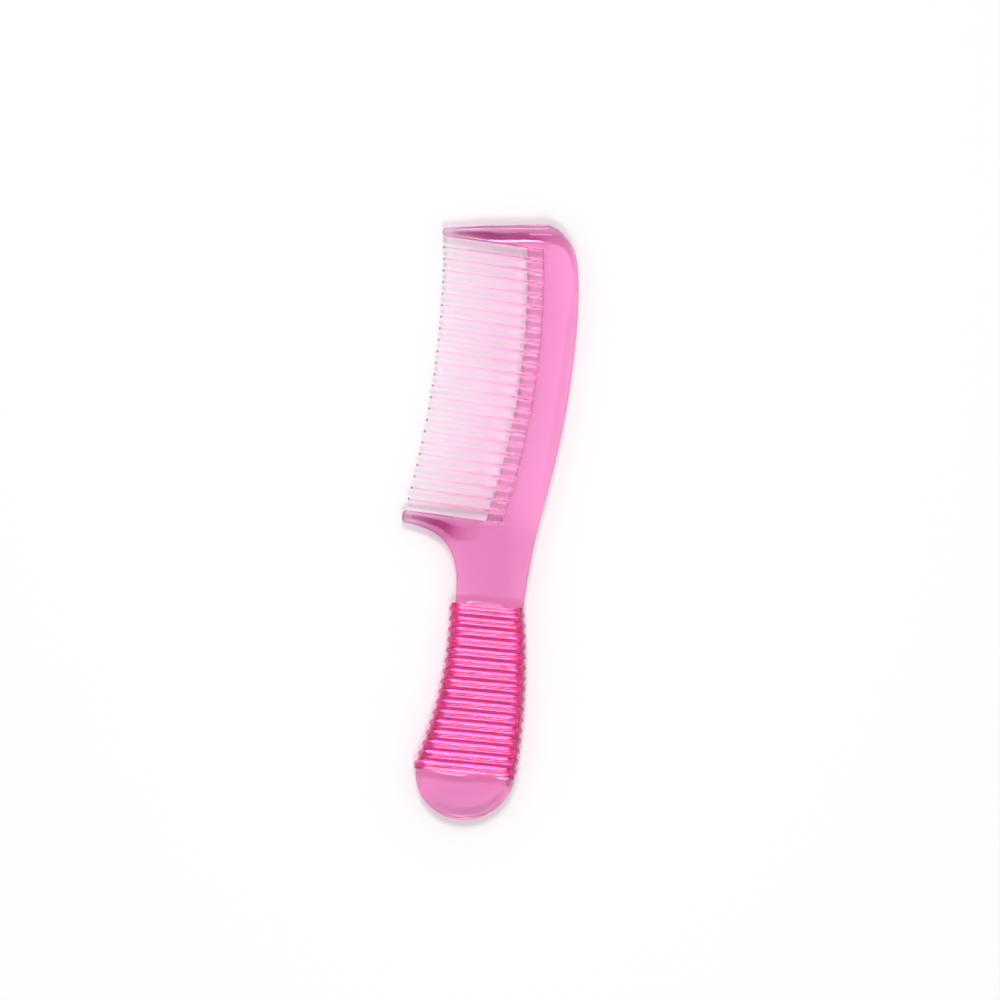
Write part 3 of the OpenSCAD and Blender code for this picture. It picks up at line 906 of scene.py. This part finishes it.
FLOOR_HALF = 4.0
FLOOR_GAP = 0.0001      # below the comb
HORIZON_LIGHT = (0.30, 0.30, 0.31)
SKY_LIGHT = (1.0, 1.0, 1.0)
SKY_FROM = 0.5          # height on the unit sphere from which the studio is fully bright
WORLD_STRENGTH = 0.59
KEY_PLACE, KEY_POWER = (-0.12, 0.60, 1.35), 7.9
FILL_PLACE, FILL_POWER = (0.12, -0.60, 1.35), 6.1
LAMP_SIZE = 0.45
CAMERA_LEAN = math.radians(8.1)
CAMERA_CENTRE = (-1.54, 8.33, 0)    # what it looks at, in the comb's own plane
CAMERA_HEIGHT = 1.5
VIEW_WIDTH = 0.368      # what it sees across, in metres
SENSOR = 36.0


def add_floor():
    half = FLOOR_HALF
    corners = [(-half, -half, 0), (half, -half, 0), (half, half, 0), (-half, half, 0)]
    mesh = bpy.data.meshes.new("floor")
    mesh.from_pydata(corners, [], [(0, 1, 2, 3)])
    floor = bpy.data.objects.new("floor", mesh)
    bpy.context.collection.objects.link(floor)
    floor.data.materials.append(floor_paint())
    floor.location.z = cad_box[0][2] - FLOOR_GAP


def add_world():
    """A white studio, greyer towards the horizon, which draws the darker lines at the comb's edges."""
    world = bpy.data.worlds.new("studio")
    bpy.context.scene.world = world
    world.use_nodes = True
    tree = world.node_tree
    background = tree.nodes["Background"]
    place = node(tree, "ShaderNodeTexCoord", -900, 0)
    split = node(tree, "ShaderNodeSeparateXYZ", -700, 0)
    shade = ramp(tree, -450, 0, (0.0, HORIZON_LIGHT), (SKY_FROM, SKY_LIGHT))
    tree.links.new(place.outputs["Generated"], split.inputs["Vector"])
    tree.links.new(split.outputs["Z"], shade.inputs["Fac"])
    tree.links.new(shade.outputs["Color"], background.inputs["Color"])
    background.inputs["Strength"].default_value = WORLD_STRENGTH


def add_light(name, place, power):
    """A round lamp that faces the comb."""
    data = bpy.data.lights.new(name, "AREA")
    data.shape = "DISK"
    data.size = LAMP_SIZE
    data.energy = power
    lamp = bpy.data.objects.new(name, data)
    bpy.context.collection.objects.link(lamp)
    lamp.location = place
    lamp.rotation_euler = (-Vector(place)).to_track_quat("-Z", "Y").to_euler()


def add_camera():
    """Straight above the comb, turned so that the comb leans as in the photograph."""
    centre = to_row(CAMERA_CENTRE)
    data = bpy.data.cameras.new("camera")
    data.sensor_width = SENSOR
    data.lens = SENSOR * CAMERA_HEIGHT / VIEW_WIDTH
    camera = bpy.data.objects.new("camera", data)
    bpy.context.collection.objects.link(camera)
    place = Matrix.Translation((centre[0], centre[1], centre[2] + CAMERA_HEIGHT))
    camera.matrix_world = place @ Matrix.Rotation(CAMERA_LEAN, 4, "Z")
    bpy.context.scene.camera = camera


add_floor()
add_world()
add_light("key", KEY_PLACE, KEY_POWER)
add_light("fill", FILL_PLACE, FILL_POWER)
add_camera()

CLEAR_BOUNCES = 28      # enough for light that runs along inside the plastic
DIFFUSE_BOUNCES = 6

scene = bpy.context.scene
scene.view_settings.view_transform = "Standard"
scene.cycles.max_bounces = CLEAR_BOUNCES
scene.cycles.transmission_bounces = CLEAR_BOUNCES
scene.cycles.glossy_bounces = CLEAR_BOUNCES
scene.cycles.diffuse_bounces = DIFFUSE_BOUNCES
scene.cycles.blur_glossy = 0.0
